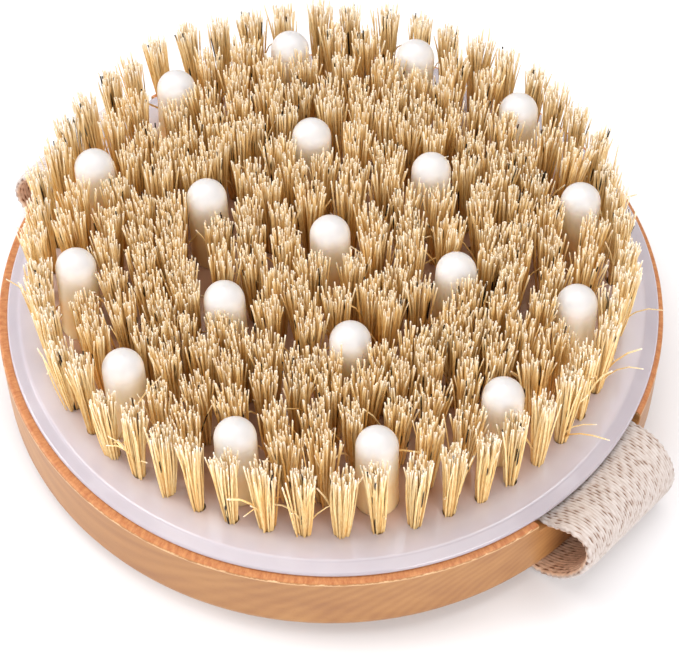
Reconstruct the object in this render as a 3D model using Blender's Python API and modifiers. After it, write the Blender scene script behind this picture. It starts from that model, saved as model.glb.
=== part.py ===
"""Round body dry brush with a hand strap.

A turned wooden body holds a moulded cushion plate in a shallow recess. Bristle tufts and
rubber massage nodules stand up through the plate. A webbing strap is stapled under the
plate's rim at both sides, loops down past the body and passes under its flat back.

Frame: metres, +Z up with the bristles on top, X along the strap, origin on the floor
under the centre of the brush.
"""
import math

import bmesh
import bpy
from mathutils import Matrix, Vector
from mathutils.geometry import interpolate_bezier

MM = 0.001
GAP = 0.3 * MM                      # clearance kept between touching pieces
OVERSHOOT = 20 * MM                 # how far a cutter runs past an open face
MERGE = 0.01 * MM
SHARP_ANGLE = math.radians(40)

# Wooden body
BODY_RADIUS = 65.0 * MM
BODY_BACK_Z = 2.3 * MM
BODY_RIM_Z = 19.5 * MM
BACK_EDGE_ROUND = 3.8 * MM
RIM_EDGE_ROUND = 0.9 * MM
RECESS_RADIUS = 58.0 * MM
RECESS_FLOOR_Z = 14.0 * MM
BODY_STEPS = 72

# Cushion plate
PLATE_RADIUS = 63.8 * MM
PLATE_BACK_Z = 17.2 * MM
PLATE_TOP_Z = 21.3 * MM
PLATE_FLAT_RADIUS = 59.2 * MM
PLATE_EDGE_Z = 20.1 * MM
FLANGE_BACK_Z = BODY_RIM_Z + GAP
PLUG_RADIUS = RECESS_RADIUS - GAP

# Massage nodules: one in the middle, a ring of 6 and a ring of 12
NODE_RINGS = ((0.0, 1, 0.0), (25.1 * MM, 6, 19.0), (48.6 * MM, 12, 20.0))
NODE_TIP_Z = 41.9 * MM
NODE_DOME_RADIUS = 3.7 * MM
NODE_STEM_RADIUS = 3.95 * MM
NODE_FOOT_RADIUS = 4.75 * MM
NODE_FOOT_Z = (15.3 * MM, PLATE_BACK_Z - GAP)
NODE_STEPS = 12

# Bristle tufts
TUFT_TIP_Z = 42.9 * MM
TUFT_BASE_WIDTH = 2.0 * MM
TUFT_TIP_WIDTH = 4.2 * MM
WIRE_Z = (RECESS_FLOOR_Z + GAP, 15.0 * MM)

# Hand strap
STRAP_WIDTH = 28.6 * MM
STRAP_THICKNESS = 2.0 * MM
TAB_THICKNESS = 1.2 * MM            # webbing pressed flat where it is clamped
TAB_START_X = 58.4 * MM
TAB_END_X = 62.6 * MM
TAB_Z = 17.8 * MM
RIGHT_LOOP = ((64.0, 18.1), (76.0, 24.6), (76.6, 1.0), (61.8, 1.0))     # Bezier, millimetres
LEFT_LOOP = ((64.9, 17.9), (69.5, 17.7), (82.4, 1.8), (67.0, 1.0))      # hangs lower
LOOP_POINTS = 15
SPAN_HALF_LENGTH = 60.3 * MM
REBATE_FLOOR_Z = TAB_Z - TAB_THICKNESS / 2 - GAP
REBATE_SIDE_CLEARANCE = 1.5 * MM
REBATE_START_X = 50.0 * MM          # inside the recess, where there is nothing left to cut

# Staples
STAPLE_X = 60.8 * MM
STAPLE_Y = 7.0 * MM
STAPLE_SPAN = 8.0 * MM
STAPLE_WIRE = (0.9 * MM, 0.6 * MM)  # width along X, height of the crown
STAPLE_CROWN_Z = TAB_Z + TAB_THICKNESS / 2 + GAP
STAPLE_POINT_Z = 11.5 * MM


def even_angles(count, first):
    """Angles in degrees of `count` places spread evenly round a circle."""
    return [first + 360.0 * i / count for i in range(count)]


def paired_angles():
    """Two tufts between each pair of neighbouring nodules of the outer nodule ring."""
    _radius, count, first = NODE_RINGS[2]
    nodes = even_angles(count, first)
    return [node + offset for node in nodes for offset in (11.0, 19.0)]


def inner_angles(offsets):
    """Tufts at fixed offsets from each nodule of the inner nodule ring."""
    _radius, count, first = NODE_RINGS[1]
    nodes = even_angles(count, first)
    return [node + offset for node in nodes for offset in offsets]


TUFT_RINGS = (
    (55.25 * MM, even_angles(52, 0.6)),
    (48.4 * MM, paired_angles()),
    (41.9 * MM, even_angles(36, 6.3)),
    (35.4 * MM, even_angles(36, 0.4)),
    (30.2 * MM, inner_angles((9.5, 20.0, 30.0, 40.0, 50.5))),
    (21.8 * MM, inner_angles((20.0, 40.0))),
    (15.9 * MM, even_angles(16, 0.7)),
    (9.4 * MM, even_angles(8, 20.0)),
)


def clear_scene():
    for obj in list(bpy.data.objects):
        bpy.data.objects.remove(obj, do_unlink=True)


def new_collection(name):
    group = bpy.data.collections.new(name)
    bpy.context.scene.collection.children.link(group)
    return group


def new_material(name, colour, roughness, metallic=0.0):
    mat = bpy.data.materials.new(name)
    mat.use_nodes = True
    shader = mat.node_tree.nodes["Principled BSDF"]
    shader.inputs["Base Color"].default_value = (*colour, 1.0)
    shader.inputs["Roughness"].default_value = roughness
    shader.inputs["Metallic"].default_value = metallic
    return mat


def add_mesh_object(name, bm, group, material=None):
    """Turn a bmesh into an object and free the bmesh."""
    bmesh.ops.recalc_face_normals(bm, faces=bm.faces)
    mesh = bpy.data.meshes.new(name)
    bm.to_mesh(mesh)
    bm.free()
    obj = bpy.data.objects.new(name, mesh)
    group.objects.link(obj)
    if material:
        mesh.materials.append(material)
    return obj


def shade_round(obj):
    """Smooth shading that keeps the hard edges."""
    obj.data.shade_smooth()
    obj.data.set_sharp_from_angle(angle=SHARP_ANGLE)


def arc(centre, radius, start, end, steps):
    """Points (r, z) on an arc, angles in degrees, both ends included."""
    points = []
    for i in range(steps + 1):
        angle = math.radians(start + (end - start) * i / steps)
        points.append((centre[0] + radius * math.cos(angle), centre[1] + radius * math.sin(angle)))
    return points


def turned(name, profile, steps, group, material):
    """Turn a profile that runs from the axis down its outer side and back to the axis."""
    bm = bmesh.new()
    verts = [bm.verts.new((r, 0.0, z)) for r, z in profile]
    for a, b in zip(verts, verts[1:]):
        bm.edges.new((a, b))
    mesh = bpy.data.meshes.new(name)
    bm.to_mesh(mesh)
    bm.free()
    obj = bpy.data.objects.new(name, mesh)
    group.objects.link(obj)
    mesh.materials.append(material)
    screw = obj.modifiers.new("turn", "SCREW")
    screw.axis = "Z"
    screw.steps = steps
    screw.render_steps = steps
    screw.use_merge_vertices = True
    screw.merge_threshold = MERGE
    screw.use_smooth_shade = False
    return obj


def apply_modifiers(obj):
    """Replace an object's mesh by its evaluated mesh, and shade it."""
    depsgraph = bpy.context.evaluated_depsgraph_get()
    mesh = bpy.data.meshes.new_from_object(obj.evaluated_get(depsgraph))
    obj.modifiers.clear()
    obj.data = mesh
    shade_round(obj)


def cut(obj, cutter):
    boolean = obj.modifiers.new("cut_" + cutter.name, "BOOLEAN")
    boolean.operation = "DIFFERENCE"
    boolean.solver = "EXACT"
    boolean.object = cutter
    cutter.hide_render = True
    cutter.display_type = "WIRE"


def add_box(bm, low, high, turn=None):
    """Add an axis-aligned box between two corners, then turn it with `turn`."""
    low = Vector(low)
    high = Vector(high)
    scale = Matrix.Diagonal((*(high - low), 1.0))
    place = Matrix.Translation((low + high) / 2)
    bmesh.ops.create_cube(bm, size=1.0, matrix=(turn or Matrix()) @ place @ scale)


def node_places():
    """Plan position of every massage nodule, from the middle outwards."""
    places = []
    for radius, count, first in NODE_RINGS:
        for angle in even_angles(count, first):
            turn = math.radians(angle)
            places.append(Vector((radius * math.cos(turn), radius * math.sin(turn), 0.0)))
    return places


def body_profile():
    """Section of the turned wooden body, with the recess in its top."""
    rim = (BODY_RADIUS - RIM_EDGE_ROUND, BODY_RIM_Z - RIM_EDGE_ROUND)
    back = (BODY_RADIUS - BACK_EDGE_ROUND, BODY_BACK_Z + BACK_EDGE_ROUND)
    return [
        (0.0, RECESS_FLOOR_Z),
        (RECESS_RADIUS, RECESS_FLOOR_Z),
        (RECESS_RADIUS, BODY_RIM_Z),
        *arc(rim, RIM_EDGE_ROUND, 90, 0, 2),
        *arc(back, BACK_EDGE_ROUND, 0, -90, 5),
        (0.0, BODY_BACK_Z),
    ]


def rebate_cutter(group):
    """Shallow rebates in the rim, one under each strap end."""
    bm = bmesh.new()
    half = STRAP_WIDTH / 2 + REBATE_SIDE_CLEARANCE
    low = (REBATE_START_X, -half, REBATE_FLOOR_Z)
    high = (BODY_RADIUS + OVERSHOOT, half, BODY_RIM_Z + OVERSHOOT)
    for side in (0, 180):
        add_box(bm, low, high, Matrix.Rotation(math.radians(side), 4, "Z"))
    return add_mesh_object("rebate_cutter", bm, group)


def leg_cutter(group):
    """Clearance holes for the staples' legs, through the strap tabs and into the wood."""
    bm = bmesh.new()
    half_x = STAPLE_WIRE[0] / 2 + GAP
    half_y = STAPLE_WIRE[1] / 2 + GAP
    reach = (STAPLE_SPAN - STAPLE_WIRE[1]) / 2
    for side in (0, 180):
        turn = Matrix.Rotation(math.radians(side), 4, "Z")
        for staple in (-STAPLE_Y, STAPLE_Y):
            for leg in (-reach, reach):
                y = staple + leg
                low = (STAPLE_X - half_x, y - half_y, STAPLE_POINT_Z - GAP)
                high = (STAPLE_X + half_x, y + half_y, BODY_RIM_Z + OVERSHOOT)
                add_box(bm, low, high, turn)
    return add_mesh_object("leg_cutter", bm, group)


def make_body(group, material, cutters):
    body = turned("wood_body", body_profile(), BODY_STEPS, group, material)
    for cutter in cutters:
        cut(body, cutter)
    apply_modifiers(body)


def plate_profile():
    """Section of the cushion plate: a plug in the recess and a rounded flange on the rim."""
    drop = PLATE_TOP_Z - PLATE_EDGE_Z
    reach = PLATE_RADIUS - PLATE_FLAT_RADIUS
    shoulder = arc((0.0, 0.0), 1.0, 90, 0, 5)
    return [
        (0.0, PLATE_TOP_Z),
        *[(PLATE_FLAT_RADIUS + reach * x, PLATE_EDGE_Z + drop * z) for x, z in shoulder],
        (PLATE_RADIUS, FLANGE_BACK_Z),
        (PLUG_RADIUS, FLANGE_BACK_Z),
        (PLUG_RADIUS, PLATE_BACK_Z),
        (0.0, PLATE_BACK_Z),
    ]


def tuft_width_at(z):
    """Width of a tuft at height z: it widens evenly from its wire to its tip."""
    share = (z - WIRE_Z[1]) / (TUFT_TIP_Z - WIRE_Z[1])
    return TUFT_BASE_WIDTH + share * (TUFT_TIP_WIDTH - TUFT_BASE_WIDTH)


def plate_hole_cutter(group):
    """One square hole for each tuft and one round hole for each nodule."""
    bm = bmesh.new()
    low_z = PLATE_BACK_Z - GAP
    high_z = PLATE_TOP_Z + GAP
    half = tuft_width_at(PLATE_TOP_Z) / 2 + GAP
    for radius, angles in TUFT_RINGS:
        for angle in angles:
            turn = Matrix.Rotation(math.radians(angle), 4, "Z")
            add_box(bm, (radius - half, -half, low_z), (radius + half, half, high_z), turn)
    for place in node_places():
        bmesh.ops.create_cone(
            bm,
            cap_ends=True,
            segments=NODE_STEPS,
            radius1=NODE_STEM_RADIUS + GAP,
            radius2=NODE_STEM_RADIUS + GAP,
            depth=high_z - low_z,
            matrix=Matrix.Translation(place + Vector((0.0, 0.0, (low_z + high_z) / 2))),
        )
    return add_mesh_object("plate_hole_cutter", bm, group)


def make_plate(group, material, cutter):
    plate = turned("cushion_plate", plate_profile(), BODY_STEPS, group, material)
    cut(plate, cutter)
    apply_modifiers(plate)


def node_profile():
    """Section of a nodule: a foot behind the plate, a slightly tapered stem and a dome."""
    dome = (0.0, NODE_TIP_Z - NODE_DOME_RADIUS)
    return [
        (0.0, NODE_TIP_Z),
        *arc(dome, NODE_DOME_RADIUS, 90, 0, 4)[1:],
        (NODE_STEM_RADIUS, NODE_FOOT_Z[1]),
        (NODE_FOOT_RADIUS, NODE_FOOT_Z[1]),
        (NODE_FOOT_RADIUS, NODE_FOOT_Z[0]),
        (0.0, NODE_FOOT_Z[0]),
    ]


def make_nodes(group, material):
    profile = node_profile()
    for number, place in enumerate(node_places(), start=1):
        node = turned(f"massage_node_{number:02d}", profile, NODE_STEPS, group, material)
        apply_modifiers(node)
        node.location = place


def make_tuft_ring(name, radius, angles, group, material):
    """A ring of flared tufts standing on the drawing wire that holds them behind the plate."""
    half_angle = math.asin(TUFT_BASE_WIDTH / 2 / radius)
    bounds = []
    for angle in sorted(angles):
        bounds.append(math.radians(angle) - half_angle)
        bounds.append(math.radians(angle) + half_angle)
    half_width = TUFT_BASE_WIDTH / 2
    inner = radius - half_width
    outer = radius + half_width
    bm = bmesh.new()
    corners = ((inner, WIRE_Z[0]), (outer, WIRE_Z[0]), (outer, WIRE_Z[1]), (inner, WIRE_Z[1]))
    start = Matrix.Rotation(bounds[0], 4, "Z")
    section = bm.faces.new([bm.verts.new(start @ Vector((r, 0.0, z))) for r, z in corners])
    first_section = section
    for before, after in zip(bounds, bounds[1:]):
        grown = bmesh.ops.extrude_face_region(bm, geom=[section])["geom"]
        moved = [item for item in grown if isinstance(item, bmesh.types.BMVert)]
        turn = Matrix.Rotation(after - before, 3, "Z")
        bmesh.ops.rotate(bm, verts=moved, cent=(0.0, 0.0, 0.0), matrix=turn)
        if section is not first_section:
            bm.faces.remove(section)
        section = next(item for item in grown if isinstance(item, bmesh.types.BMFace))
    bmesh.ops.bridge_loops(bm, edges=list(first_section.edges) + list(section.edges))
    for face in (first_section, section):
        bm.faces.remove(face)
    raise_tufts(bm, radius, angles)
    return add_mesh_object(name, bm, group, material)


def raise_tufts(bm, radius, angles):
    """Pull each tuft up out of the top face of its piece of the wire ring."""
    bm.faces.ensure_lookup_table()
    flare = TUFT_TIP_WIDTH / TUFT_BASE_WIDTH
    tops = [face for face in bm.faces if abs(face.calc_center_median().z - WIRE_Z[1]) < MERGE]
    for angle in angles:
        turn = math.radians(angle)
        place = Vector((radius * math.cos(turn), radius * math.sin(turn), WIRE_Z[1]))
        base = min(tops, key=lambda face: (face.calc_center_median() - place).length)
        tip = bmesh.ops.extrude_discrete_faces(bm, faces=[base])["faces"][0]
        tops.remove(base)
        about = Matrix.Translation(-place)
        bmesh.ops.scale(bm, verts=tip.verts, vec=(flare, flare, 1.0), space=about)
        bmesh.ops.translate(bm, verts=tip.verts, vec=(0.0, 0.0, TUFT_TIP_Z - WIRE_Z[1]))


def make_bristles(group, material):
    for number, (radius, angles) in enumerate(TUFT_RINGS, start=1):
        make_tuft_ring(f"bristle_ring_{number}", radius, angles, group, material)


def extruded_outline(name, points, width, group, material):
    """A closed outline in the XZ plane, extruded along Y, as a mesh object."""
    curve = bpy.data.curves.new(name, "CURVE")
    curve.dimensions = "2D"
    curve.fill_mode = "BOTH"
    curve.extrude = width / 2
    spline = curve.splines.new("POLY")
    spline.points.add(len(points) - 1)
    for point, (x, z) in zip(spline.points, points):
        point.co = (x, z, 0.0, 1.0)
    spline.use_cyclic_u = True
    guide = bpy.data.objects.new(name + "_outline", curve)
    guide.rotation_euler = (math.radians(90), 0.0, 0.0)
    group.objects.link(guide)
    bpy.context.view_layer.update()
    depsgraph = bpy.context.evaluated_depsgraph_get()
    mesh = bpy.data.meshes.new_from_object(guide.evaluated_get(depsgraph))
    mesh.transform(guide.matrix_world)
    bpy.data.objects.remove(guide, do_unlink=True)
    bm = bmesh.new()
    bm.from_mesh(mesh)
    bpy.data.meshes.remove(mesh)
    bmesh.ops.remove_doubles(bm, verts=bm.verts, dist=MERGE)
    return add_mesh_object(name, bm, group, material)


def strap_path(loop_bezier):
    """Centre line (x, z) and thickness of the strap, from its clamped tab round the loop."""
    knots = [Vector((x * MM, z * MM)) for x, z in loop_bezier]
    loop = interpolate_bezier(*knots, LOOP_POINTS)
    path = [
        (Vector((TAB_START_X, TAB_Z)), TAB_THICKNESS),
        (Vector((TAB_END_X, TAB_Z)), TAB_THICKNESS),
    ]
    for point in loop:
        path.append((Vector((point[0], point[1])), STRAP_THICKNESS))
    path[2] = (path[2][0], (TAB_THICKNESS + STRAP_THICKNESS) / 2)   # where the tab ends
    end = Vector((SPAN_HALF_LENGTH + GAP, STRAP_THICKNESS / 2))
    path.append((end, STRAP_THICKNESS))
    return path


def strap_outline(loop_bezier):
    """Closed outline of a strap end: out along one face and back along the other."""
    path = strap_path(loop_bezier)
    outside = []
    inside = []
    for i, (point, thickness) in enumerate(path):
        before = path[max(i - 1, 0)][0]
        after = path[min(i + 1, len(path) - 1)][0]
        along = (after - before).normalized()
        across = Vector((-along.y, along.x)) * thickness / 2
        outside.append(point + across)
        inside.append(point - across)
    return outside + inside[::-1]


def make_strap(group, material, cutter):
    mirrored = [(-x, z) for x, z in strap_outline(LEFT_LOOP)]
    right = extruded_outline(
        "strap_end_right", strap_outline(RIGHT_LOOP), STRAP_WIDTH, group, material
    )
    left = extruded_outline("strap_end_left", mirrored, STRAP_WIDTH, group, material)
    for end in (right, left):
        cut(end, cutter)
    bm = bmesh.new()
    half = Vector((SPAN_HALF_LENGTH, STRAP_WIDTH / 2, STRAP_THICKNESS / 2))
    add_box(bm, -half, half)
    span = add_mesh_object("strap_span", bm, group, material)
    span.location.z = STRAP_THICKNESS / 2


def staple_outline():
    """Front outline of a staple: a crown with two legs, as (y, z) from its middle."""
    half = STAPLE_SPAN / 2
    inner = half - STAPLE_WIRE[1]
    crown_top = STAPLE_CROWN_Z + STAPLE_WIRE[1]
    return [
        (-half, crown_top),
        (-half, STAPLE_POINT_Z),
        (-inner, STAPLE_POINT_Z),
        (-inner, STAPLE_CROWN_Z),
        (inner, STAPLE_CROWN_Z),
        (inner, STAPLE_POINT_Z),
        (half, STAPLE_POINT_Z),
        (half, crown_top),
    ]


def make_staples(group, material):
    outline = staple_outline()
    for side, x in (("left", -STAPLE_X), ("right", STAPLE_X)):
        for place, y in (("front", -STAPLE_Y), ("back", STAPLE_Y)):
            name = f"strap_staple_{side}_{place}"
            staple = extruded_outline(name, outline, STAPLE_WIRE[0], group, material)
            staple.rotation_euler = (0.0, 0.0, math.radians(90))
            staple.location = (x, y, 0.0)


def main():
    clear_scene()
    parts = new_collection("body_dry_brush")
    cutters = new_collection("cutters")
    wood = new_material("wood", (0.72, 0.44, 0.22), 0.45)
    cushion = new_material("cushion", (0.86, 0.83, 0.85), 0.25)
    nodule = new_material("nodule", (0.90, 0.85, 0.76), 0.45)
    bristle = new_material("bristle", (0.83, 0.67, 0.40), 0.6)
    webbing = new_material("webbing", (0.86, 0.80, 0.72), 0.9)
    steel = new_material("steel", (0.60, 0.60, 0.62), 0.35, metallic=1.0)

    legs = leg_cutter(cutters)
    make_body(parts, wood, (rebate_cutter(cutters), legs))
    make_plate(parts, cushion, plate_hole_cutter(cutters))
    make_nodes(parts, nodule)
    make_bristles(parts, bristle)
    make_strap(parts, webbing, legs)
    make_staples(parts, steel)


main()
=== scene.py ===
"""The looks of the body dry brush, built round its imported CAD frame.

Lengths are in metres, in the frame's own axes: +Z up, X along the hand strap, and the
floor at z = 0. Places come from the boxes and meshes of the CAD nodes.
"""
import math

import bmesh
import bpy
import numpy as np
from mathutils import Matrix, Vector
from mathutils.geometry import interpolate_bezier


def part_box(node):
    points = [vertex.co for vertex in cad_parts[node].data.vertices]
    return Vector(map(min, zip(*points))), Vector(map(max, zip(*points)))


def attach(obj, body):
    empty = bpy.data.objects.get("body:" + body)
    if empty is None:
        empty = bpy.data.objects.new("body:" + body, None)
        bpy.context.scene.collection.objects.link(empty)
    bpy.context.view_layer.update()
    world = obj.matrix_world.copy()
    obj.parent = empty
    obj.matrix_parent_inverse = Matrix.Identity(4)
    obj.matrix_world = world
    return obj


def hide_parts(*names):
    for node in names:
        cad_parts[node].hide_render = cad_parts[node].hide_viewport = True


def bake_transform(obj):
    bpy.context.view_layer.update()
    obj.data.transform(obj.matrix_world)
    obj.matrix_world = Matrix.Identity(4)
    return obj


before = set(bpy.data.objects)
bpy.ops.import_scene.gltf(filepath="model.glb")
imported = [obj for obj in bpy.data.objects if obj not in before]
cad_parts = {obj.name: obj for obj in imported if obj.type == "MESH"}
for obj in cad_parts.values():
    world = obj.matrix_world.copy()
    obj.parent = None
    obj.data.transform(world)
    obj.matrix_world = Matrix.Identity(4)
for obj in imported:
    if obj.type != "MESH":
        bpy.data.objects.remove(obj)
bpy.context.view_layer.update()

MM = 0.001
SEED = 20
BLACK = (0.0, 0.0, 0.0, 1.0)
WHITE = (1.0, 1.0, 1.0, 1.0)
WOOD_LOW, WOOD_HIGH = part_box("wood_body")
PLATE_LOW, PLATE_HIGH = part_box("cushion_plate")

# Camera
CAMERA_TURN = math.radians(40)
CAMERA_RISE = math.radians(53.7)
CAMERA_DISTANCE = 418.9 * MM
CAMERA_LENS = 114.64                # millimetres, on a 36 mm sensor
CAMERA_TARGET = Vector((6.94, -5.68, 19.5)) * MM

# Wooden body
TURNING_STEPS = 288
RECESS_RADIUS = 58.0 * MM
RECESS_FLOOR_Z = 14.0 * MM
RIM_EDGE_ROUND = 0.6 * MM
BACK_EDGE_ROUND = 3.8 * MM
REBATE_SIDE_CLEARANCE = 1.5 * MM
REBATE_FLOOR_Z = 16.9 * MM
REBATE_START_X = 50.0 * MM
EDGE_BREAK = 0.25 * MM              # sandpapered edge
GRAIN_SLANT = (math.radians(7), math.radians(-9), math.radians(24))

# Cushion plate
FLAT_RADIUS = 60.7 * MM
BEND_RADIUS = 1.6 * MM
SHOULDER_SLOPE = 30.0               # degrees
LIP_RADIUS = 0.75 * MM
LIP_UNDERCUT = 0.2 * MM
FLANGE_CREASE = 0.16 * MM
PLUG_RADIUS = 57.4 * MM
PLATE_BACK_Z = 17.2 * MM
FLANGE_GAP = 0.12 * MM              # between the flange and the wooden rim
PLATE_SHIFT = 0.4 * MM              # the plate sits a little off centre in its recess
SHIFT_DIRECTION = Vector((math.cos(CAMERA_TURN), math.sin(CAMERA_TURN), 0.0))
TUFT_HOLE_RADIUS = 1.2 * MM
NODULE_HOLE_RADIUS = 4.1 * MM
TINT_REACH = 64.5                   # millimetres, where the plate's radial tint ends

# Massage nodules
NODULE_DOME_RADIUS = 3.85 * MM
NODULE_STEM_RADIUS = 4.0 * MM
NODULE_FOOT_RADIUS = 4.75 * MM
NODULE_FOOT_DEPTH = 0.3 * MM        # of the foot's shoulder below the plate's back
NODULE_LEAN = math.radians(0.7)
NODULE_STEPS = 48

# Bristles
BRISTLES_PER_TUFT = 64
BRISTLE_RADIUS = 0.205 * MM
TUFT_BASE_RADIUS = 0.55 * MM
OUTER_TIP_RADIUS = 2.25 * MM        # of a tuft's tip, in the outermost ring
INNER_TIP_RADIUS = 2.85 * MM
TIP_DEPTH = 1.6 * MM                # how far the tips lie below the longest, on average
TUFT_SPLAY = 0.01                   # how much further out the tips lie than the roots
LEFT_COMBING = 1.5 * MM             # how far use has combed the tufts over at the left edge
TUFT_LEAN = 0.5 * MM                # this and the next five are standard deviations
TUFT_LENGTH_SPREAD = 0.3 * MM
BRISTLE_LENGTH_SPREAD = 0.65 * MM
TIP_SCATTER = 0.45 * MM
BRISTLE_BOW = 0.24 * MM
TIP_CURL = 0.35 * MM
STRAYS_PER_TUFT = 2.0
DARK_SHARE = 0.07
BRISTLE_STEPS = 6

# Hand strap
STRAP_WIDTH = 28.6 * MM
STRAP_THICKNESS = 2.0 * MM
TAB_THICKNESS = 1.2 * MM
TAB_START_X = 58.4 * MM
TAB_END_X = 62.6 * MM
TAB_Z = 17.8 * MM
# Bezier handles (x, z) in millimetres of each side loop, at its front and far edges. The
# right loop bulges up at the front; the left one, mirrored, hangs lower.
RIGHT_LOOP = (
    ((64.0, 18.2), (79.0, 30.2), (73.6, 1.0), (61.6, 1.0)),
    ((64.0, 17.9), (72.0, 20.0), (80.0, 1.0), (62.0, 1.0)),
)
LEFT_LOOP = (
    ((64.9, 17.9), (69.5, 17.7), (83.2, 1.8), (68.0, 1.0)),
    ((64.9, 17.9), (69.5, 17.7), (82.0, 1.8), (67.0, 1.0)),
)
YARN_COUNT = 46
YARN_SAMPLES = 3
YARN_HEIGHT = 0.28 * MM
PICK_LENGTH = 2.3 * MM              # of one float of a yarn
EDGE_PICK = 1.45 * MM               # of one scallop along the strap's edges
EDGE_SCALLOP = 0.34 * MM
STRAP_ROWS = 356
ROUTE_STEPS = 60


def sampler(name):
    """A random generator of its own for each piece, so that pieces don't disturb each other."""
    return np.random.default_rng([SEED, *name.encode()])


def paint(red, green, blue):
    """An sRGB colour, 0 to 255, as the linear RGBA that a shader takes."""
    linear = []
    for value in (red, green, blue):
        share = value / 255
        linear.append(share / 12.92 if share <= 0.04045 else ((share + 0.055) / 1.055) ** 2.4)
    return (*linear, 1.0)


# ---------------------------------------------------------------- materials


def add_node(mat, kind, inputs=None, **settings):
    """Add a shader node. Each input is a plain value or another node's output."""
    node = mat.node_tree.nodes.new(kind)
    for key, value in settings.items():
        setattr(node, key, value)
    for key, value in (inputs or {}).items():
        socket = node.inputs[key]
        if isinstance(value, bpy.types.NodeSocket):
            mat.node_tree.links.new(value, socket)
        else:
            socket.default_value = value
    return node


def new_material(name, **sockets):
    """A Principled material. Sockets are named with underscores for spaces."""
    mat = bpy.data.materials.new(name)
    mat.use_nodes = True
    shader = mat.node_tree.nodes["Principled BSDF"]
    for key, value in sockets.items():
        shader.inputs[key.replace("_", " ").title().replace("Ior", "IOR")].default_value = value
    return mat


def plug_in(mat, socket, output):
    mat.node_tree.links.new(output, mat.node_tree.nodes["Principled BSDF"].inputs[socket])


def ramp(mat, factor, *stops):
    """Colour ramp through (position, colour) stops."""
    node = add_node(mat, "ShaderNodeValToRGB", {"Fac": factor})
    elements = node.color_ramp.elements
    while len(elements) < len(stops):
        elements.new(0.5)
    for element, (position, colour) in zip(elements, stops):
        element.position = position
        element.color = colour
    return node.outputs["Color"]


def math_node(mat, operation, first, second=0.0):
    return add_node(mat, "ShaderNodeMath", {0: first, 1: second}, operation=operation).outputs[0]


def share_between(mat, value, low, high):
    """How far the value is on its way from low to high, 0 to 1."""
    inputs = {"Value": value, "From Min": low, "From Max": high}
    return add_node(mat, "ShaderNodeMapRange", inputs).outputs[0]


def mix(mat, factor, first, second, blend="MIX"):
    """Mix of two colours, which are the Mix node's inputs 6 and 7 and its output 2."""
    inputs = {0: factor, 6: first, 7: second}
    node = add_node(mat, "ShaderNodeMix", inputs, data_type="RGBA", blend_type=blend)
    return node.outputs[2]


def noise(mat, vector, scale, detail=3.0, roughness=0.5):
    node = add_node(
        mat,
        "ShaderNodeTexNoise",
        {"Vector": vector, "Scale": scale, "Detail": detail, "Roughness": roughness},
    )
    return node.outputs["Fac"]


def place(mat, scale=(1.0, 1.0, 1.0), turn=(0.0, 0.0, 0.0), source=None):
    """Object coordinates in millimetres, turned and then stretched."""
    source = source or add_node(mat, "ShaderNodeTexCoord").outputs["Object"]
    in_mm = [1000.0 * factor for factor in scale]
    node = add_node(
        mat, "ShaderNodeMapping", {"Vector": source, "Rotation": turn, "Scale": in_mm}
    )
    return node.outputs["Vector"]


def stretch(mat, vector, *factors):
    node = add_node(mat, "ShaderNodeMapping", {"Vector": vector, "Scale": factors})
    return node.outputs["Vector"]


def bump(mat, height, strength, distance):
    """Bump of `distance` metres, plugged into the shader's normal."""
    inputs = {"Height": height, "Strength": strength, "Distance": distance}
    plug_in(mat, "Normal", add_node(mat, "ShaderNodeBump", inputs).outputs["Normal"])


def polar(mat, source):
    """Angle in radians, and radius and height in millimetres, about the turning axis."""
    x, y, z = add_node(mat, "ShaderNodeSeparateXYZ", {0: source}).outputs
    flat = add_node(mat, "ShaderNodeCombineXYZ", {"X": x, "Y": y})
    radius = add_node(mat, "ShaderNodeVectorMath", {0: flat.outputs[0]}, operation="LENGTH")
    return math_node(mat, "ARCTAN2", y, x), radius.outputs["Value"], z


def grain(mat):
    """The side's colour: slow slanted bands of growth, fibres and short flecks. The fibres
    come back as well, for the bump."""
    bands = place(mat, (0.016, 0.13, 0.20), GRAIN_SLANT)
    wander = noise(mat, bands, 1.0, 2.0)
    rings = add_node(
        mat,
        "ShaderNodeTexWave",
        {"Vector": bands, "Scale": 1.1, "Distortion": 3.5, "Detail": 2.0, "Detail Scale": 0.7},
        wave_type="RINGS",
        rings_direction="X",
    ).outputs["Fac"]
    tone = math_node(mat, "ADD", math_node(mat, "MULTIPLY", rings, 0.20), wander)
    base = ramp(
        mat,
        tone,
        (0.25, paint(150, 100, 58)),
        (0.60, paint(168, 118, 68)),
        (0.95, paint(182, 133, 80)),
    )
    fibre = noise(mat, place(mat, (0.35, 5.0, 5.0), GRAIN_SLANT), 1.0, 3.0, 0.6)
    base = mix(mat, math_node(mat, "MULTIPLY", fibre, 0.3), base, paint(150, 98, 58))
    flecks = noise(mat, place(mat, (0.9, 3.2, 3.2), GRAIN_SLANT), 1.0, 1.0)
    fleck = ramp(mat, flecks, (0.66, BLACK), (0.74, WHITE))
    return mix(mat, math_node(mat, "MULTIPLY", fleck, 0.28), base, paint(134, 82, 48)), fibre


def end_grain(mat, spokes):
    """The ledge's redder colour, ticked along its radius."""
    ticks = noise(mat, stretch(mat, spokes, 80.0, 0.5, 1.0), 1.0, 3.0, 0.7)
    return ramp(mat, ticks, (0.35, paint(166, 98, 54)), (0.65, paint(192, 130, 80)))


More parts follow.
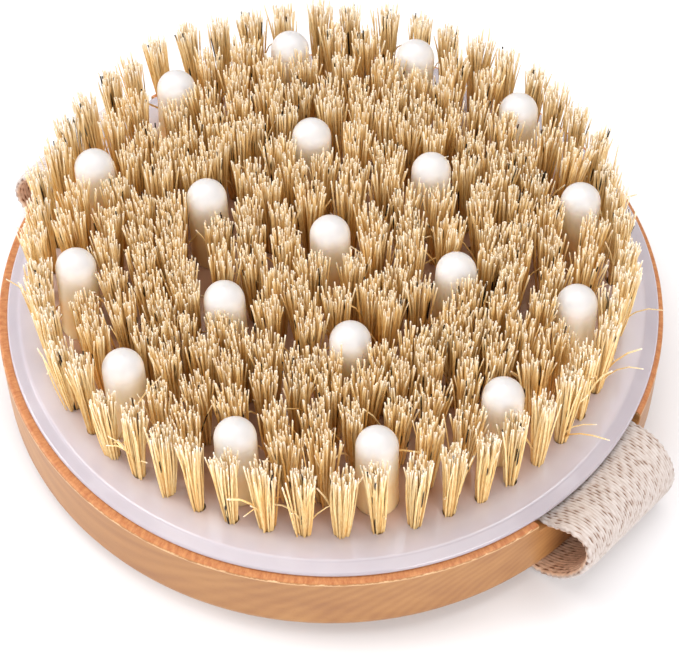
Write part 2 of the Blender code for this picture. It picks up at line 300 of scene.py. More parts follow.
def edge_highlight_and_chips(mat, spokes, height, edge_height):
    """Share of pale colour along the upper edge, ragged: a painted highlight on the rounded edge,
    with bare wood where the edge has chips.
    """
    chips = noise(mat, stretch(mat, spokes, 16.0, 1.2, 1.0), 1.0, 4.0, 0.75)
    middle = math_node(mat, "ADD", math_node(mat, "MULTIPLY", chips, 1.6), edge_height - 1.15)
    away = math_node(mat, "ABSOLUTE", math_node(mat, "SUBTRACT", height, middle))
    strip = ramp(mat, away, (0.10, WHITE), (0.28, BLACK))
    strength = ramp(mat, chips, (0.40, (0.25, 0.25, 0.25, 1.0)), (0.60, WHITE))
    return math_node(mat, "MULTIPLY", strip, strength)


def wood_material():
    """Pale beech under a thin satin oil, with end grain on its ledge and a pale strip along the
    upper edge: a painted highlight, with bare wood where the edge has chips.
    """
    mat = new_material("beech", roughness=0.42, specular_ior_level=0.4)
    base, fibre = grain(mat)
    angle, radius, height = polar(mat, place(mat))
    spokes = add_node(mat, "ShaderNodeCombineXYZ", {"X": angle, "Y": radius}).outputs[0]
    edge_height = (WOOD_HIGH.z - RIM_EDGE_ROUND / 2) / MM
    on_ledge = share_between(mat, height, edge_height - 0.12, edge_height + 0.12)
    base = mix(mat, on_ledge, base, end_grain(mat, spokes))
    # Pale strip along the upper edge: painted highlight, with bare wood at the chips.
    highlight_and_chips = edge_highlight_and_chips(mat, spokes, height, edge_height)
    plug_in(mat, "Base Color", mix(mat, highlight_and_chips, base, paint(222, 184, 140)))
    bump(mat, fibre, 0.35, 0.05 * MM)
    return mat


def plate_material():
    """Milky moulded rubber with a glossy skin. Warmer between the tufts: painted light reflected
    from the bristles. Greyer on the shoulder and lip: painted shade.
    """
    mat = new_material(
        "milky_rubber",
        roughness=0.26,
        subsurface_weight=0.35,
        subsurface_radius=(1.0, 0.75, 0.7),
        subsurface_scale=2.0 * MM,
        coat_weight=0.6,
        coat_roughness=0.06,
    )
    cloud = noise(mat, place(mat), 0.09, 3.0)
    base = ramp(mat, cloud, (0.3, paint(196, 189, 195)), (0.7, paint(206, 199, 203)))
    _, radius, _ = polar(mat, place(mat))
    # Radial tint: the warm stop inside the tufted field is painted light reflected from the
    # bristles; the greyer stop at the lip is painted shade.
    painted_light_tint = ramp(
        mat,
        math_node(mat, "DIVIDE", radius, TINT_REACH),
        (0.78, paint(230, 186, 148)),
        (0.90, paint(247, 244, 243)),
        (0.940, paint(242, 240, 245)),
        (0.954, paint(226, 223, 227)),
    )
    base = mix(mat, 1.0, base, painted_light_tint, "MULTIPLY")
    plug_in(mat, "Base Color", base)
    bump(mat, noise(mat, place(mat), 0.5, 2.0), 0.25, 0.05 * MM)
    return mat


def nodule_material():
    """Satin white rubber, a little see-through. Warmer and brighter towards the foot: painted
    golden light reflected from the bristles round it. Greyer on the dome's top: painted shade.
    """
    mat = new_material(
        "white_rubber",
        roughness=0.40,
        subsurface_weight=0.6,
        subsurface_radius=(1.0, 0.85, 0.65),
        subsurface_scale=4.0 * MM,
    )
    source = add_node(mat, "ShaderNodeTexCoord").outputs["Object"]
    height = add_node(mat, "ShaderNodeSeparateXYZ", {0: source}).outputs["Z"]
    cloud = noise(mat, place(mat, source=source), 0.25, 2.0)
    # Height gradient: warm lower stops are painted golden bounce light, the grey top stop painted
    # shade.
    share = share_between(mat, height, -14.0 * MM, 0.0)
    share = math_node(mat, "ADD", share, math_node(mat, "MULTIPLY", cloud, 0.12))
    base = ramp(
        mat,
        share,
        (0.15, paint(255, 216, 162)),
        (0.50, paint(255, 238, 214)),
        (0.76, paint(248, 241, 236)),
        (0.98, paint(202, 199, 199)),
    )
    plug_in(mat, "Base Color", base)
    bump(mat, noise(mat, place(mat, source=source), 1.2, 2.0), 0.2, 0.04 * MM)
    return mat


def bristle_material():
    """Natural bristle: straw, cream at the cut tip. The deeper amber towards the root is painted
    shade and warm light bounced between the strands deep in the tufts.
    """
    mat = new_material("bristle", roughness=0.55, specular_ior_level=0.3)
    marks = add_node(mat, "ShaderNodeAttribute", attribute_name="strand").outputs["Color"]
    along, tone, dark = add_node(mat, "ShaderNodeSeparateColor", {0: marks}).outputs
    # Both ramps: deeper amber towards the root is painted shade and bounce light from inside the
    # tuft.
    golden = ramp(
        mat,
        along,
        (0.10, paint(222, 172, 100)),
        (0.32, paint(252, 197, 112)),
        (0.72, paint(255, 213, 130)),
        (0.93, paint(255, 230, 172)),
        (1.00, paint(255, 248, 232)),
    )
    olive = ramp(
        mat,
        along,
        (0.10, paint(204, 176, 122)),
        (0.32, paint(242, 214, 156)),
        (0.72, paint(252, 232, 180)),
        (0.93, paint(255, 240, 204)),
        (1.00, paint(255, 254, 250)),
    )
    base = mix(mat, tone, golden, olive)
    streak = noise(mat, place(mat, (6.0, 6.0, 0.5)), 1.0, 2.0)
    shade = ramp(mat, streak, (0.3, paint(236, 214, 180)), (0.65, paint(255, 255, 255)))
    base = mix(mat, 1.0, base, shade, "MULTIPLY")
    patches = noise(mat, place(mat, (0.8, 0.8, 0.14)), 1.0, 1.0)
    shown = ramp(mat, patches, (0.54, BLACK), (0.58, WHITE))
    dark = math_node(mat, "MULTIPLY", dark, shown)
    plug_in(mat, "Base Color", mix(mat, dark, base, paint(26, 17, 12)))
    return mat


def webbing_material():
    """Undyed cotton: cream yarn tops and twisted plies, brown in the gaps between the yarns as
    painted shade. The inner side's warmer tint is painted shade and warm light bounced from the
    wood."""
    mat = new_material("cotton_webbing", roughness=0.88, sheen_weight=0.25, sheen_roughness=0.5)
    cloth = add_node(mat, "ShaderNodeAttribute", attribute_name="cloth").outputs["Vector"]
    height = add_node(mat, "ShaderNodeSeparateXYZ", {0: cloth}).outputs["Z"]
    # Darker and browner down in the weave's gaps: painted shade.
    base = ramp(
        mat,
        height,
        (0.10, paint(112, 74, 54)),
        (0.36, paint(178, 144, 124)),
        (0.62, paint(226, 212, 203)),
        (0.95, paint(243, 233, 228)),
    )
    plies = noise(mat, stretch(mat, cloth, 0.5, 3.4, 0.0), 1.0, 3.0, 0.65)
    shade = ramp(mat, plies, (0.30, paint(214, 198, 186)), (0.55, paint(255, 255, 255)))
    base = mix(mat, 0.75, base, shade, "MULTIPLY")
    # Warm tint on the inner side: painted shade and light bounced from the wood.
    inner = add_node(mat, "ShaderNodeAttribute", attribute_name="inner").outputs["Fac"]
    painted_light_tint = mix(mat, inner, paint(216, 214, 214), paint(255, 226, 198))
    plug_in(mat, "Base Color", mix(mat, 1.0, base, painted_light_tint, "MULTIPLY"))
    bump(mat, plies, 0.8, 0.14 * MM)
    return mat


def steel_material():
    """Zinc-coated staple wire."""
    mat = new_material("zinc_wire", metallic=1.0, roughness=0.35)
    brushed = noise(mat, place(mat, (4.0, 0.4, 4.0)), 1.0, 3.0)
    base = ramp(mat, brushed, (0.3, paint(168, 168, 172)), (0.7, paint(206, 206, 210)))
    plug_in(mat, "Base Color", base)
    bump(mat, brushed, 0.3, 0.02 * MM)
    return mat


# ---------------------------------------------------------------- mesh helpers


def add_object(name, mesh, mat=None):
    obj = bpy.data.objects.new(name, mesh)
    bpy.context.scene.collection.objects.link(obj)
    if mat:
        mesh.materials.append(mat)
    return obj


def mesh_from(name, verts, faces):
    mesh = bpy.data.meshes.new(name)
    mesh.from_pydata(verts, [], faces)
    mesh.validate()
    return mesh


def arc(centre, radius, start, end, steps):
    """Points (r, z) on an arc, angles in degrees, both ends included."""
    points = []
    for i in range(steps + 1):
        angle = math.radians(start + (end - start) * i / steps)
        points.append((centre[0] + radius * math.cos(angle), centre[1] + radius * math.sin(angle)))
    return points


def turned_mesh(name, profile, steps):
    """A closed turned mesh. The profile runs from the upper flat face's rim, down the
    outside, to the lower flat face's rim, and each flat face is one polygon."""
    radii = np.array([point[0] for point in profile])
    heights = np.array([point[1] for point in profile])
    turn = np.arange(steps) * 2 * math.pi / steps
    verts = np.stack(
        (
            np.outer(radii, np.cos(turn)),
            np.outer(radii, np.sin(turn)),
            np.repeat(heights[:, None], steps, axis=1),
        ),
        axis=2,
    ).reshape(-1, 3)
    faces = []
    for ring in range(len(profile) - 1):
        first = ring * steps
        for i in range(steps):
            j = (i + 1) % steps
            faces.append((first + i, first + steps + i, first + steps + j, first + j))
    faces.append(tuple(range(steps)))
    last = (len(profile) - 1) * steps
    faces.append(tuple(range(last + steps - 1, last - 1, -1)))
    return mesh_from(name, verts.tolist(), faces)


def cut_away(obj, cutter):
    """Cut one object out of another, at once, and remove the cutter."""
    boolean = obj.modifiers.new("cut", "BOOLEAN")
    boolean.operation = "DIFFERENCE"
    boolean.solver = "EXACT"
    boolean.object = cutter
    apply_modifiers(obj)
    bpy.data.objects.remove(cutter, do_unlink=True)


def apply_modifiers(obj):
    depsgraph = bpy.context.evaluated_depsgraph_get()
    mesh = bpy.data.meshes.new_from_object(obj.evaluated_get(depsgraph))
    obj.modifiers.clear()
    obj.data = mesh


def soften_edges(obj, width, angle):
    """Round the edges sharper than an angle in degrees, and shade large faces flat."""
    obj.data.shade_smooth()
    bevel = obj.modifiers.new("edges", "BEVEL")
    bevel.width = width
    bevel.segments = 2
    bevel.limit_method = "ANGLE"
    bevel.angle_limit = math.radians(angle)
    apply_modifiers(obj)
    obj.data.shade_smooth()
    weighted = obj.modifiers.new("shading", "WEIGHTED_NORMAL")
    weighted.weight = 80
    apply_modifiers(obj)


def remember(obj, name, kind, values):
    """Store a value for each vertex, for the material to read."""
    store = obj.data.attributes.new(name, kind, "POINT")
    store.data.foreach_set("color" if kind == "FLOAT_COLOR" else "vector", values.ravel())


# ---------------------------------------------------------------- wood


def wood_profile():
    """From the recess floor up to the rim, down the side and under to the flat back."""
    radius = WOOD_HIGH.x
    rim_z = WOOD_HIGH.z
    back_z = WOOD_LOW.z
    rim = (radius - RIM_EDGE_ROUND, rim_z - RIM_EDGE_ROUND)
    back = (radius - BACK_EDGE_ROUND, back_z + BACK_EDGE_ROUND)
    return [
        (RECESS_RADIUS, RECESS_FLOOR_Z),
        (RECESS_RADIUS, rim_z),
        *arc(rim, RIM_EDGE_ROUND, 90, 0, 6),
        *arc(back, BACK_EDGE_ROUND, 0, -90, 12),
    ]


def make_wood(mat):
    wood = add_object("turned_wood", turned_mesh("turned_wood", wood_profile(), TURNING_STEPS), mat)
    bm = bmesh.new()
    half = STRAP_WIDTH / 2 + REBATE_SIDE_CLEARANCE
    for side in (-1, 1):
        reach = Vector((WOOD_HIGH.x, 2 * half, WOOD_HIGH.x))
        middle = Vector((side * (REBATE_START_X + reach.x / 2), 0.0, REBATE_FLOOR_Z + reach.z / 2))
        matrix = Matrix.Translation(middle) @ Matrix.Diagonal((*reach, 1.0))
        bmesh.ops.create_cube(bm, size=1.0, matrix=matrix)
    mesh = bpy.data.meshes.new("rebates")
    bm.to_mesh(mesh)
    bm.free()
    cut_away(wood, add_object("rebates", mesh))
    soften_edges(wood, EDGE_BREAK, 35.0)
    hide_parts("wood_body")
    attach(wood, "brush")


# ---------------------------------------------------------------- cushion plate


def plate_profile():
    """The flat top, a soft bend to the sloping shoulder, the round lip and the plug below."""
    top = PLATE_HIGH.z
    radius = PLATE_HIGH.x - PLATE_SHIFT / 2
    lip_z = WOOD_HIGH.z + FLANGE_GAP
    bend = arc((FLAT_RADIUS, top - BEND_RADIUS), BEND_RADIUS, 90, 90 - SHOULDER_SLOPE, 8)
    lip = (radius - LIP_RADIUS, lip_z + 0.25 * MM)
    brow = arc(lip, LIP_RADIUS, 90 - SHOULDER_SLOPE, 0, 6)
    return [
        (FLAT_RADIUS - 2.0 * MM, top),
        *bend,
        *brow,
        *arc((radius - LIP_UNDERCUT, lip_z + LIP_UNDERCUT), LIP_UNDERCUT, 0, -90, 4),
        (PLUG_RADIUS, lip_z),
        (PLUG_RADIUS, PLATE_BACK_Z),
    ]


def hole_cutters(tufts, nodules):
    """A round hole for each tuft and each nodule."""
    bm = bmesh.new()
    low = PLATE_BACK_Z - MM
    high = PLATE_HIGH.z + MM
    holes = [(tuft, TUFT_HOLE_RADIUS, 14) for tuft in tufts]
    holes += [(nodule, NODULE_HOLE_RADIUS, NODULE_STEPS) for nodule in nodules]
    for centre, radius, segments in holes:
        bmesh.ops.create_cone(
            bm,
            cap_ends=True,
            segments=segments,
            radius1=radius,
            radius2=radius,
            depth=high - low,
            matrix=Matrix.Translation((centre[0], centre[1], (low + high) / 2)),
        )
    mesh = bpy.data.meshes.new("holes")
    bm.to_mesh(mesh)
    bm.free()
    return add_object("holes", mesh)


def make_plate(mat, tufts, nodules):
    mesh = turned_mesh("cushion_top", plate_profile(), TURNING_STEPS)
    mesh.transform(Matrix.Translation(SHIFT_DIRECTION * PLATE_SHIFT))
    plate = add_object("cushion_top", mesh, mat)
    cut_away(plate, hole_cutters(tufts, nodules))
    soften_edges(plate, FLANGE_CREASE, 50.0)
    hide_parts("cushion_plate")
    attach(plate, "brush")


# ---------------------------------------------------------------- massage nodules


def nodule_names():
    return sorted(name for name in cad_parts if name.startswith("massage_node_"))


def nodule_centres():
    centres = []
    for name in nodule_names():
        low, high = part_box(name)
        centres.append((low + high) / 2)
    return centres


def nodule_profile(tip_z, foot_z):
    """From the moulding nub on the dome's top down the stem to the foot behind the plate."""
    dome = (0.0, tip_z - NODULE_DOME_RADIUS)
    collar_z = PLATE_HIGH.z
    foot_top_z = PLATE_BACK_Z - NODULE_FOOT_DEPTH
    waist = NODULE_STEM_RADIUS - 0.12 * MM
    return [
        (0.18 * MM, tip_z + 0.05 * MM),
        (0.40 * MM, tip_z + 0.02 * MM),
        *arc(dome, NODULE_DOME_RADIUS, 82, 4, 12),
        (NODULE_DOME_RADIUS + 0.02 * MM, tip_z - NODULE_DOME_RADIUS - 1.5 * MM),
        (waist, tip_z - 9.0 * MM),
        (NODULE_STEM_RADIUS, collar_z + 4.0 * MM),
        (NODULE_STEM_RADIUS + 0.1 * MM, collar_z + 1.0 * MM),
        (NODULE_STEM_RADIUS + 0.05 * MM, foot_top_z),
        (NODULE_FOOT_RADIUS, foot_top_z),
        (NODULE_FOOT_RADIUS, foot_z),
    ]


def make_nodules(mat):
    for number, name in enumerate(nodule_names(), start=1):
        low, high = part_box(name)
        profile = nodule_profile(high.z, low.z)
        mesh = turned_mesh(f"nodule_{number:02d}", profile, NODULE_STEPS)
        mesh.transform(Matrix.Translation((0.0, 0.0, -high.z)))
        mesh.shade_smooth()
        mesh.set_sharp_from_angle(angle=math.radians(50))
        nodule = add_object(f"nodule_{number:02d}", mesh, mat)
        lean = sampler(name).normal(0.0, NODULE_LEAN, 2)
        foot = Vector(((low.x + high.x) / 2, (low.y + high.y) / 2, PLATE_HIGH.z))
        tilt = Matrix.Rotation(lean[0], 4, "X") @ Matrix.Rotation(lean[1], 4, "Y")
        rise = Matrix.Translation((0.0, 0.0, high.z - PLATE_HIGH.z))
        nodule.matrix_world = Matrix.Translation(foot) @ tilt @ rise
        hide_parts(name)
        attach(nodule, "brush")


# ---------------------------------------------------------------- bristles


def ring_names():
    return sorted(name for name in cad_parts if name.startswith("bristle_ring_"))


def joined_faces(start, allowed):
    """All allowed faces that hang together with the first one."""
    group = {start}
    front = [start]
    while front:
        for edge in front.pop().edges:
            for face in edge.link_faces:
                if face in allowed and face not in group:
                    group.add(face)
                    front.append(face)
    return group


def tuft_centres(name):
    """Centres of the CAD tufts of one ring: the middles of the faces at its very top."""
    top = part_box(name)[1].z
    bm = bmesh.new()
    bm.from_mesh(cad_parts[name].data)
    bmesh.ops.remove_doubles(bm, verts=bm.verts, dist=0.01 * MM)
    bm.verts.index_update()
    tips = [face for face in bm.faces if all(top - v.co.z < 0.1 * MM for v in face.verts)]
    allowed = set(tips)
    seen = set()
    centres = []
    for face in tips:
        if face not in seen:
            group = joined_faces(face, allowed)
            seen |= group
            corners = {v.index: v.co for member in group for v in member.verts}
            total = sum((corners[index] for index in sorted(corners)), Vector())
            centres.append(total / len(corners))
    bm.free()
    return np.array([centre[:] for centre in centres])


def smooth_share(values):
    return values * values * (3 - 2 * values)


def upright_bristles(rng, centre, foot_z, tip_z, tip_radius):
    """Centre lines of one tuft's bristles, spread evenly at the root and flared to the tip."""
    count = BRISTLES_PER_TUFT
    angle = rng.uniform(0, 2 * math.pi, count)
    share = np.sqrt((np.arange(count) + 0.5) / count)[:, None]
    out = np.stack((np.cos(angle), np.sin(angle)), axis=1)
    lean = centre[:2] * TUFT_SPLAY + rng.normal(0, TUFT_LEAN, 2)
    lean[0] -= LEFT_COMBING * smooth_share(np.clip((-centre[0] - 30 * MM) / (28 * MM), 0, 1))
    root = centre[:2] + out * share * TUFT_BASE_RADIUS
    flare = tip_radius * rng.uniform(0.85, 1.15)
    scatter = rng.normal(0, TIP_SCATTER, (count, 2))
    tip = centre[:2] + lean + out * share * flare + scatter
    top = tip_z - TIP_DEPTH + rng.normal(0, TUFT_LENGTH_SPREAD)
    top = np.minimum(top + rng.normal(0, BRISTLE_LENGTH_SPREAD, count), tip_z)
    t = np.linspace(0, 1, BRISTLE_STEPS)
    bow = rng.normal(0, BRISTLE_BOW, (count, 2))
    plan = root[:, None] + (tip - root)[:, None] * (t**0.9)[None, :, None]
    plan = plan + bow[:, None] * (4 * t * (1 - t))[None, :, None]
    plan = plan + rng.normal(0, TIP_CURL, (count, 1, 2)) * (t**5)[None, :, None]
    height = foot_z + (top[:, None] - foot_z) * t
    return np.concatenate((plan, height[:, :, None]), axis=2)


def stray_bristles(rng, centre, foot_z, tip_z, count):
    """Bristles that leave the tuft part way up and bend over sideways."""
    angle = rng.uniform(0, 2 * math.pi, count)
    out = np.stack((np.cos(angle), np.sin(angle)), axis=1)
    root = centre[:2] + out * TUFT_BASE_RADIUS * rng.uniform(0.3, 1.0, (count, 1))
    reach = (2.5 + 2.2 * rng.exponential(1.0, (count, 1))) * MM
    side = np.stack((-out[:, 1], out[:, 0]), axis=1) * rng.normal(0, 2.0 * MM, (count, 1))
    top = foot_z + (tip_z - foot_z) * rng.uniform(0.45, 0.98, (count, 1))
    t = np.linspace(0, 1, BRISTLE_STEPS)[None, :]
    spread = (t**1.8)[:, :, None]
    plan = root[:, None] + (out * reach)[:, None] * spread + side[:, None] * (spread**1.5)
    height = foot_z + (top - foot_z) * (t - 0.18 * t**4)
    return np.concatenate((plan, height[:, :, None]), axis=2)


def strand_marks(rng, count, palest):
    """For every point of every bristle: place along it, its tone, and if it's a dark one."""
    t = np.broadcast_to(np.linspace(0, 1, BRISTLE_STEPS), (count, BRISTLE_STEPS))
    tone = np.broadcast_to(np.clip(rng.uniform(palest - 1, palest, (count, 1)), 0, 1), t.shape)
    dark = np.broadcast_to(rng.uniform(0, 1, (count, 1)) < DARK_SHARE, t.shape)
    return np.stack((t, tone, dark), axis=2)


def strand_corners(rng, paths):
    """Three corners round every point of every bristle, each bristle with its own thickness."""
    count, steps, _ = paths.shape
    along = np.gradient(paths, axis=1)
    along /= np.linalg.norm(along, axis=2, keepdims=True)
    heading = paths[:, -1, :2] - paths[:, 0, :2] + 1e-7
    heading /= np.linalg.norm(heading, axis=1, keepdims=True)
    side = np.stack((-heading[:, 1], heading[:, 0], np.zeros(count)), axis=1)[:, None]
    side = np.broadcast_to(side, paths.shape)
    other = np.cross(along, side)
    t = np.linspace(0, 1, steps)
    taper = (1.0 - 0.14 * t - 0.10 * t**4)[None, :, None]
    radius = BRISTLE_RADIUS * rng.uniform(0.72, 1.25, (count, 1, 1)) * taper
    first = rng.uniform(0, 2 * math.pi, (count, 1, 1))
    corners = []
    for corner in range(3):
        turn = first + corner * 2 * math.pi / 3
        corners.append(paths + radius * (np.cos(turn) * side + np.sin(turn) * other))
    tips = paths[:, -1] + along[:, -1] * 0.1 * MM
    corners = np.stack(corners, axis=2).reshape(count, steps * 3, 3)
    return np.concatenate((corners, tips[:, None]), axis=1)


def strand_faces(count, steps):
    """Quads up each bristle's three sides, then its pointed tip and its closed root."""
    tip = steps * 3
    sides = []
    for low in range(0, tip - 3, 3):
        for corner in range(3):
            after = (corner + 1) % 3
            sides.append((low + corner, low + after, low + 3 + after, low + 3 + corner))
    last = tip - 3
    ends = [(last, last + 1, tip), (last + 1, last + 2, tip), (last + 2, last, tip), (2, 1, 0)]
    start = np.arange(count)[:, None, None] * (tip + 1)
    quads = (start + np.array(sides)[None]).reshape(-1, 4)
    triangles = (start + np.array(ends)[None]).reshape(-1, 3)
    return quads.tolist() + triangles.tolist()


def strand_mesh(name, rng, paths, marks):
    """A closed three-sided tube along each path, and the marks of all its points."""
    count, steps, _ = paths.shape
    verts = strand_corners(rng, paths)
    mesh = bpy.data.meshes.new(name)
    mesh.from_pydata(verts.reshape(-1, 3).tolist(), [], strand_faces(count, steps))
    spread = np.repeat(marks, 3, axis=1)
    spread = np.concatenate((spread, marks[:, -1:]), axis=1).reshape(-1, 3)
    return mesh, np.concatenate((spread, np.ones((len(spread), 1))), axis=1)


def make_bristle_ring(name, number, centres, mat):
    rng = sampler(name)
    low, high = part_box(name)
    foot_z = low.z + 0.5 * MM
    tip_radius = OUTER_TIP_RADIUS if number == 1 else INNER_TIP_RADIUS
    bundles = []
    for centre in centres:
        bundles.append(upright_bristles(rng, centre, foot_z, high.z, tip_radius))
        strays = rng.poisson(STRAYS_PER_TUFT)
        bundles.append(stray_bristles(rng, centre, PLATE_HIGH.z - MM, high.z, strays))
    paths = np.concatenate(bundles)
    marks = strand_marks(rng, len(paths), palest=1.5 if number == 1 else 1.0)
    mesh, colours = strand_mesh(f"bristles_{number}", rng, paths, marks)
    ring = add_object(f"bristles_{number}", mesh, mat)
    remember(ring, "strand", "FLOAT_COLOR", colours)
    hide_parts(name)
    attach(ring, "brush")


# ---------------------------------------------------------------- hand strap


def half_path(handles):
    """Centre line (x, z) of one half of the strap, from its clamped tab round the side loop
    to the middle of the back."""
    knots = [Vector((x * MM, z * MM)) for x, z in handles]
    loop = [Vector(point[:2]) for point in interpolate_bezier(*knots, ROUTE_STEPS)]
    tab_start = Vector((TAB_START_X, TAB_Z))
    tab = [tab_start.lerp(Vector((TAB_END_X, TAB_Z)), i / 6) for i in range(6)]
    middle = Vector((0.0, STRAP_THICKNESS / 2))
    span = [knots[-1].lerp(middle, i / ROUTE_STEPS) for i in range(1, ROUTE_STEPS + 1)]
    return np.array([point[:] for point in tab + loop + span])


def evenly(points, count):
    """The same route with `count` evenly spaced points and its corners eased, and its length."""
    for _ in range(2):
        step = np.linalg.norm(np.diff(points, axis=0), axis=1)
        travel = np.concatenate(([0.0], np.cumsum(step)))
        at = np.linspace(0, travel[-1], count)
        points = np.stack([np.interp(at, travel, points[:, k]) for k in (0, 1)], axis=1)
        for _ in range(4):
            points[1:-1] = (points[:-2] + 2 * points[1:-1] + points[2:]) / 4
    return points, travel[-1]


def strap_centre(rows, columns):
    """Grid of points over the strap's middle surface, rows along it, and its mean length."""
    edges = []
    lengths = []
    for edge in (0, 1):
        right, right_length = evenly(half_path(RIGHT_LOOP[edge]), rows // 2 + 1)
        left, left_length = evenly(half_path(LEFT_LOOP[edge]), rows // 2 + 1)
        edges.append(np.concatenate((right, left[:-1][::-1] * (-1, 1))))
        lengths.append(right_length + left_length)
    share = np.linspace(0, 1, columns)[None, :, None]
    grid = edges[0][:, None] * (1 - share) + edges[1][:, None] * share
    y = np.broadcast_to((share[:, :, 0] - 0.5) * STRAP_WIDTH, grid.shape[:2])
    return np.stack((grid[:, :, 0], y, grid[:, :, 1]), axis=2), sum(lengths) / 2


def weave(rng, along, columns):
    """Height of the cloth's face, 0 to 1, over a grid of rows and columns. Yarns run along
    the strap with a groove at every third column. Each groove opens into a dash where a
    yarn passes under a pick, and neighbouring yarns do so in turn, as in a twill."""
    column = np.arange(columns)[None, :]
    yarn = column // YARN_SAMPLES
    start = yarn * 0.27 + rng.uniform(-0.14, 0.14, (1, YARN_COUNT + 1))[:, yarn[0]]
    phase = along / PICK_LENGTH + start
    cell = np.floor(phase).astype(int)
    cells = cell.max() + 2
    slide = rng.uniform(-0.16, 0.16, (YARN_COUNT + 1, cells))
    depth = rng.uniform(0.1, 1.15, (YARN_COUNT + 1, cells))
    place_in = phase - cell + slide[yarn, cell]
    dash = np.exp(-(((place_in - 0.5) / 0.27) ** 4))
    groove = column % YARN_SAMPLES == 0
    sunk = np.clip(0.68 - 0.72 * dash * depth[yarn, cell], 0, 1)
    return np.where(groove, sunk, 1.0 - 0.4 * dash * depth[yarn, cell])


def strap_thickness(centre):
    """Thinner where the strap is pressed flat under the plate's rim."""
    clamped = (centre[:, :, 2] > TAB_Z - 1.5 * MM) & (np.abs(centre[:, :, 0]) < 66 * MM)
    open_share = np.clip((np.abs(centre[:, :, 0]) - TAB_END_X) / (3 * MM), 0, 1)
    pressed = TAB_THICKNESS + (STRAP_THICKNESS - TAB_THICKNESS) * smooth_share(open_share)
    return np.where(clamped, pressed, STRAP_THICKNESS)


def strap_faces(rows, around):
    """Quads round the strap from row to row, and one polygon over each end."""
    faces = []
    for row in range(rows - 1):
        first = row * around
        for i in range(around):
            j = (i + 1) % around
            faces.append((first + i, first + j, first + around + j, first + around + i))
    faces.append(tuple(range(around - 1, -1, -1)))
    faces.append(tuple(range((rows - 1) * around, rows * around)))
    return faces


def strap_waver(rng, along, across):
    """Sideways shift of the yarns: a slow wander inside, and a scallop at each edge's picks."""
    wander = 0.18 * MM * np.sin(along / (9 * MM)) + 0.10 * MM * np.sin(along / (2.3 * MM))
    wander = wander + rng.normal(0, 0.035 * MM, along.shape)
    phase = along * 2 * math.pi / EDGE_PICK + rng.uniform(0, 0.9, (len(along), 1))
    at_edge = smooth_share(np.clip((np.abs(across) - 0.9) / 0.1, 0, 1))
    scallop = EDGE_SCALLOP * (0.5 + 0.5 * np.cos(phase)) * at_edge
    return wander * (1 - across**2) + scallop * np.sign(across)


def make_strap(mat):
    """The whole strap as one closed woven sheet, from one clamped tab round both side loops and
    under the back to the other tab.
    """
    rng = sampler("strap")
    columns = YARN_COUNT * YARN_SAMPLES + 1
    centre, length = strap_centre(STRAP_ROWS, columns)
    rows = len(centre)
    normal = np.cross(np.gradient(centre, axis=0), np.gradient(centre, axis=1))
    normal /= np.linalg.norm(normal, axis=2, keepdims=True)
    along = np.broadcast_to(np.linspace(0, length, rows)[:, None], (rows, columns))
    across = np.broadcast_to(np.linspace(-1, 1, columns)[None], (rows, columns))
    edge = np.sqrt(1 - np.abs(across) ** 14)
    core = strap_thickness(centre) / 2 - YARN_HEIGHT
    centre[:, :, 1] += strap_waver(rng, along, across)
    sides = []
    for side in (1, -1):
        lift = weave(rng, along, columns)
        offset = side * (core * edge + YARN_HEIGHT * lift * (0.25 + 0.75 * edge))
        points = centre + normal * offset[:, :, None]
        cloth = np.stack((along / MM, across * STRAP_WIDTH / 2 / MM, lift), axis=2)
        inner = np.full((rows, columns, 4), float(side < 0))
        sides.append((points, cloth, inner))
    points, cloth, inner = (
        np.concatenate((upper, lower[:, -2:0:-1]), axis=1) for upper, lower in zip(*sides)
    )
    faces = strap_faces(rows, points.shape[1])
    mesh = mesh_from("webbing_strap", points.reshape(-1, 3).tolist(), faces)
    mesh.shade_smooth()
    strap = add_object("webbing_strap", mesh, mat)
    remember(strap, "cloth", "FLOAT_VECTOR", cloth)
    remember(strap, "inner", "FLOAT_COLOR", inner)
    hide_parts("strap_end_left", "strap_end_right", "strap_span")
    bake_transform(strap)


def finish_staples(mat):
    for name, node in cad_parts.items():
        if name.startswith("strap_staple_"):
            for slot in node.material_slots:
                slot.material = mat


# ---------------------------------------------------------------- stage


def make_floor():
    bpy.ops.mesh.primitive_plane_add(size=6.0, location=(0.0, 0.0, -0.05 * MM))
    floor = bpy.context.object
    floor.name = "floor"
    mat = new_material("pale_floor", roughness=0.9, emission_strength=0.01)
    shader = mat.node_tree.nodes["Principled BSDF"]
    shader.inputs["Base Color"].default_value = paint(234, 233, 235)
    shader.inputs["Emission Color"].default_value = paint(255, 253, 254)
    floor.data.materials.append(mat)


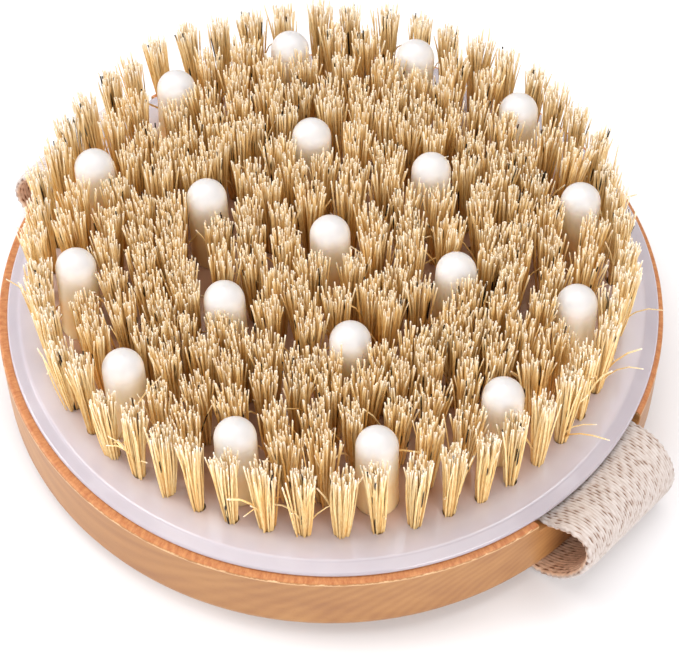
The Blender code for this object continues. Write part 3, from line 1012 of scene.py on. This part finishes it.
def add_softbox(name, place_at, size, power, colour=(1.0, 1.0, 1.0)):
    """A square area light that faces the brush."""
    data = bpy.data.lights.new(name, "AREA")
    data.shape = "SQUARE"
    data.size = size
    data.energy = power
    data.color = colour
    light = bpy.data.objects.new(name, data)
    bpy.context.scene.collection.objects.link(light)
    light.location = place_at
    aim = Vector((0.0, 0.0, 20 * MM)) - Vector(place_at)
    light.rotation_euler = aim.to_track_quat("-Z", "Y").to_euler()


def make_lights():
    """Broad soft light. The two high boxes draw the thin bright line on the plate's bend."""
    add_softbox("overhead", (-0.15, 0.10, 1.1), 1.0, 6.6)
    add_softbox("high_left", (-0.47, -0.15, 1.09), 0.36, 1.4)
    add_softbox("high_right", (0.22, 0.44, 1.09), 0.36, 1.4)
    add_softbox("left", (-0.85, -0.60, 0.50), 0.6, 9.2)
    add_softbox("right", (0.90, -0.25, 0.50), 0.5, 5.8, (1.0, 0.97, 0.94))
    add_softbox("front", (0.35, -0.95, 0.75), 0.8, 3.0)
    world = bpy.data.worlds.new("studio")
    world.use_nodes = True
    background = world.node_tree.nodes["Background"]
    background.inputs["Color"].default_value = (1.0, 1.0, 1.0, 1.0)
    background.inputs["Strength"].default_value = 0.50
    bpy.context.scene.world = world
    bpy.context.scene.view_settings.view_transform = "Standard"


def make_camera():
    data = bpy.data.cameras.new("camera")
    data.lens = CAMERA_LENS
    data.clip_start = 10 * MM
    camera = bpy.data.objects.new("camera", data)
    bpy.context.scene.collection.objects.link(camera)
    away = Vector(
        (
            math.cos(CAMERA_RISE) * math.sin(CAMERA_TURN),
            -math.cos(CAMERA_RISE) * math.cos(CAMERA_TURN),
            math.sin(CAMERA_RISE),
        )
    )
    camera.location = CAMERA_TARGET + away * CAMERA_DISTANCE
    camera.rotation_euler = (-away).to_track_quat("-Z", "Y").to_euler()
    bpy.context.scene.camera = camera


def main():
    make_camera()
    make_floor()
    make_lights()
    rings = {name: tuft_centres(name) for name in ring_names()}
    tufts = [centre for centres in rings.values() for centre in centres]
    make_wood(wood_material())
    make_plate(plate_material(), tufts, nodule_centres())
    make_nodules(nodule_material())
    bristle = bristle_material()
    for number, (name, centres) in enumerate(rings.items(), start=1):
        make_bristle_ring(name, number, centres, bristle)
    make_strap(webbing_material())
    finish_staples(steel_material())


main()
